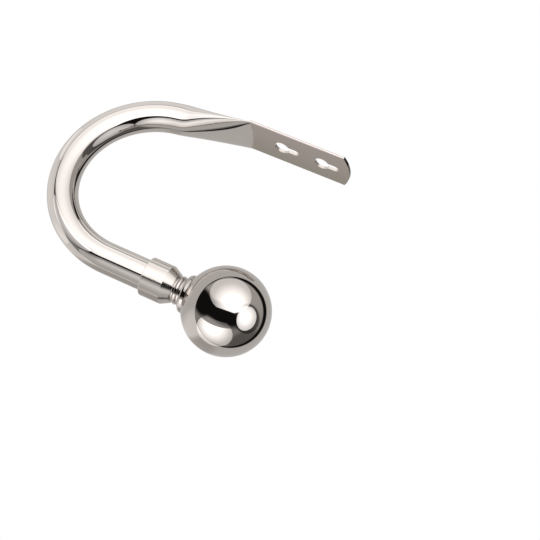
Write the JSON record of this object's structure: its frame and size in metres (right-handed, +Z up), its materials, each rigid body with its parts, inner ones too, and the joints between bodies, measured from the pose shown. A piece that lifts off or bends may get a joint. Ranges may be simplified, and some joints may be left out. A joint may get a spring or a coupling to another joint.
{
  "type": "curtain holdback",
  "caption": "Wall-fixed curtain holdback: a polished tube bent to a U, its wall end flattened to a keyhole tab, its free end closed by a collar, a beaded neck and a hollow ball.",
  "frame": {"origin": "midway between the two keyhole entries, on the back face of the tab, which is the wall plane", "axes": "+Z up, +Y into the wall, +X along the tab towards its free end; the hook stands out towards -Y"},
  "size_m": [0.1416, 0.1221, 0.045],
  "materials": {
    "polished_nickel": "mirror-polished nickel plate",
    "satin_nickel": "satin nickel, fine turning lines",
    "plain_brass": "plain turned brass",
    "plain_steel": "zinc-plated steel"
  },
  "bodies": {
    "root": {"arm_tube": "polished_nickel", "end_collar": "satin_nickel", "tube_plug": "plain_brass", "finial_neck": "polished_nickel", "finial_ball": "polished_nickel", "ball_nut": "plain_brass", "joining_stud": "plain_steel"}
  },
  "joints": []
}
